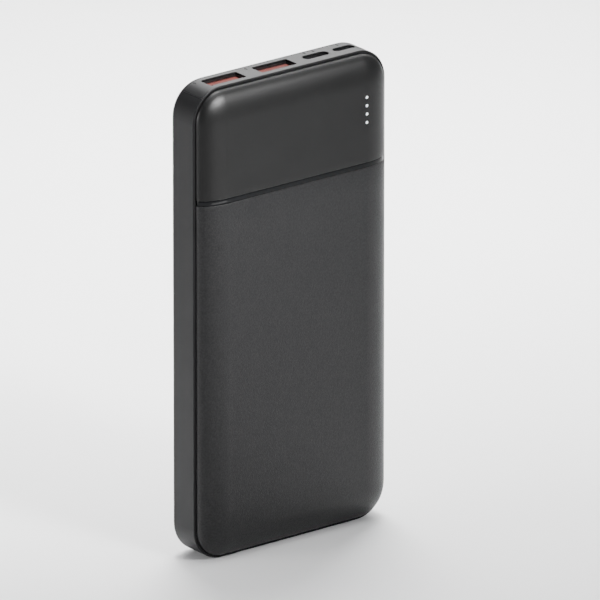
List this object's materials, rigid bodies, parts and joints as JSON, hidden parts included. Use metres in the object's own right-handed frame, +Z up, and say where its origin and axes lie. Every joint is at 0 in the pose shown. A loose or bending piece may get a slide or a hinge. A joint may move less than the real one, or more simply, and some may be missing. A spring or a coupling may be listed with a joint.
{
  "type": "power bank",
  "caption": "Slim upright portable battery with rounded edges, a crowned front cover, a glossy cross strip, charge lights, a side key and charging sockets along the top.",
  "frame": {"origin": "middle of the bottom edge, half way through the thickness, standing upright", "axes": "+Z up along the length towards the sockets, front cover faces -Y, +X to the right seen from the front"},
  "size_m": [0.0698, 0.0162, 0.144],
  "materials": {
    "shell_plastic": "fine spark-eroded moulded ABS, matt black",
    "cover_plastic": "matt black moulded ABS, smooth above the strip and fine grain below it",
    "gloss_strip": "gloss black",
    "light_guide": "frosted clear acrylic, lit from behind",
    "button_plastic": "satin moulded ABS",
    "socket_metal": "nickel-plated",
    "orange_tongue": "moulded nylon",
    "black_tongue": "moulded nylon",
    "contact_metal": "gold-plated",
    "board_laminate": "green solder mask",
    "chip_black": "moulded epoxy",
    "ferrite": "pressed ferrite",
    "ceramic": "fired ceramic",
    "capacitor_can": "drawn can",
    "led_resin": "clear resin",
    "switch_plastic": "moulded nylon",
    "screw_steel": "zinc-plated",
    "pouch_foil": "laminated foil",
    "nickel_strip": "rolled nickel",
    "tape": "double-sided tape",
    "foam": "closed-cell foam",
    "red_insulation": "silicone",
    "black_insulation": "silicone",
    "bead_resin": "dipped resin"
  },
  "bodies": {
    "case": {"rear_shell": "shell_plastic", "port_panel": "shell_plastic", "front_cover": "cover_plastic", "accent_strip": "gloss_strip", "light_guide": "light_guide", "usb_a_left_shell": "socket_metal", "usb_a_right_shell": "socket_metal", "usb_c_shell": "socket_metal", "micro_usb_shell": "socket_metal", "usb_a_left_tongue": "orange_tongue", "usb_a_right_tongue": "orange_tongue", "usb_c_tongue": "black_tongue", "micro_usb_tongue": "black_tongue", "usb_a_left_contacts": "contact_metal", "usb_a_right_contacts": "contact_metal", "usb_c_contacts": "contact_metal", "micro_usb_contacts": "contact_metal", "main_board": "board_laminate", "protection_board": "board_laminate", "charge_controller": "chip_black", "power_mosfets": "chip_black", "protection_chips": "chip_black", "chip_resistors": "chip_black", "power_inductor": "ferrite", "ceramic_capacitors": "ceramic", "polymer_capacitors": "capacitor_can", "status_leds": "led_resin", "switch_body": "switch_plastic", "board_screws": "screw_steel", "front_cell": "pouch_foil", "back_cell": "pouch_foil", "cell_tabs": "nickel_strip", "cell_tape": "tape", "mounting_tape": "tape", "cushion_pad": "foam", "positive_lead": "red_insulation", "negative_lead": "black_insulation", "thermistor": "bead_resin"},
    "button": {"power_button": "button_plastic"},
    "plunger": {"switch_plunger": "switch_plastic"}
  },
  "joints": [
    {"name": "button_press", "type": "slide", "parent": "case", "child": "button", "axis": [-1, 0, 0], "range_m": [0, 0.0003], "stiffness_N_per_m": 4000},
    {"name": "plunger_press", "type": "slide", "parent": "case", "child": "plunger", "axis": [-1, 0, 0], "range_m": [0, 0.0003]}
  ],
  "couplings": [
    {"joint": "plunger_press", "follows": "button_press", "ratio": 1}
  ]
}
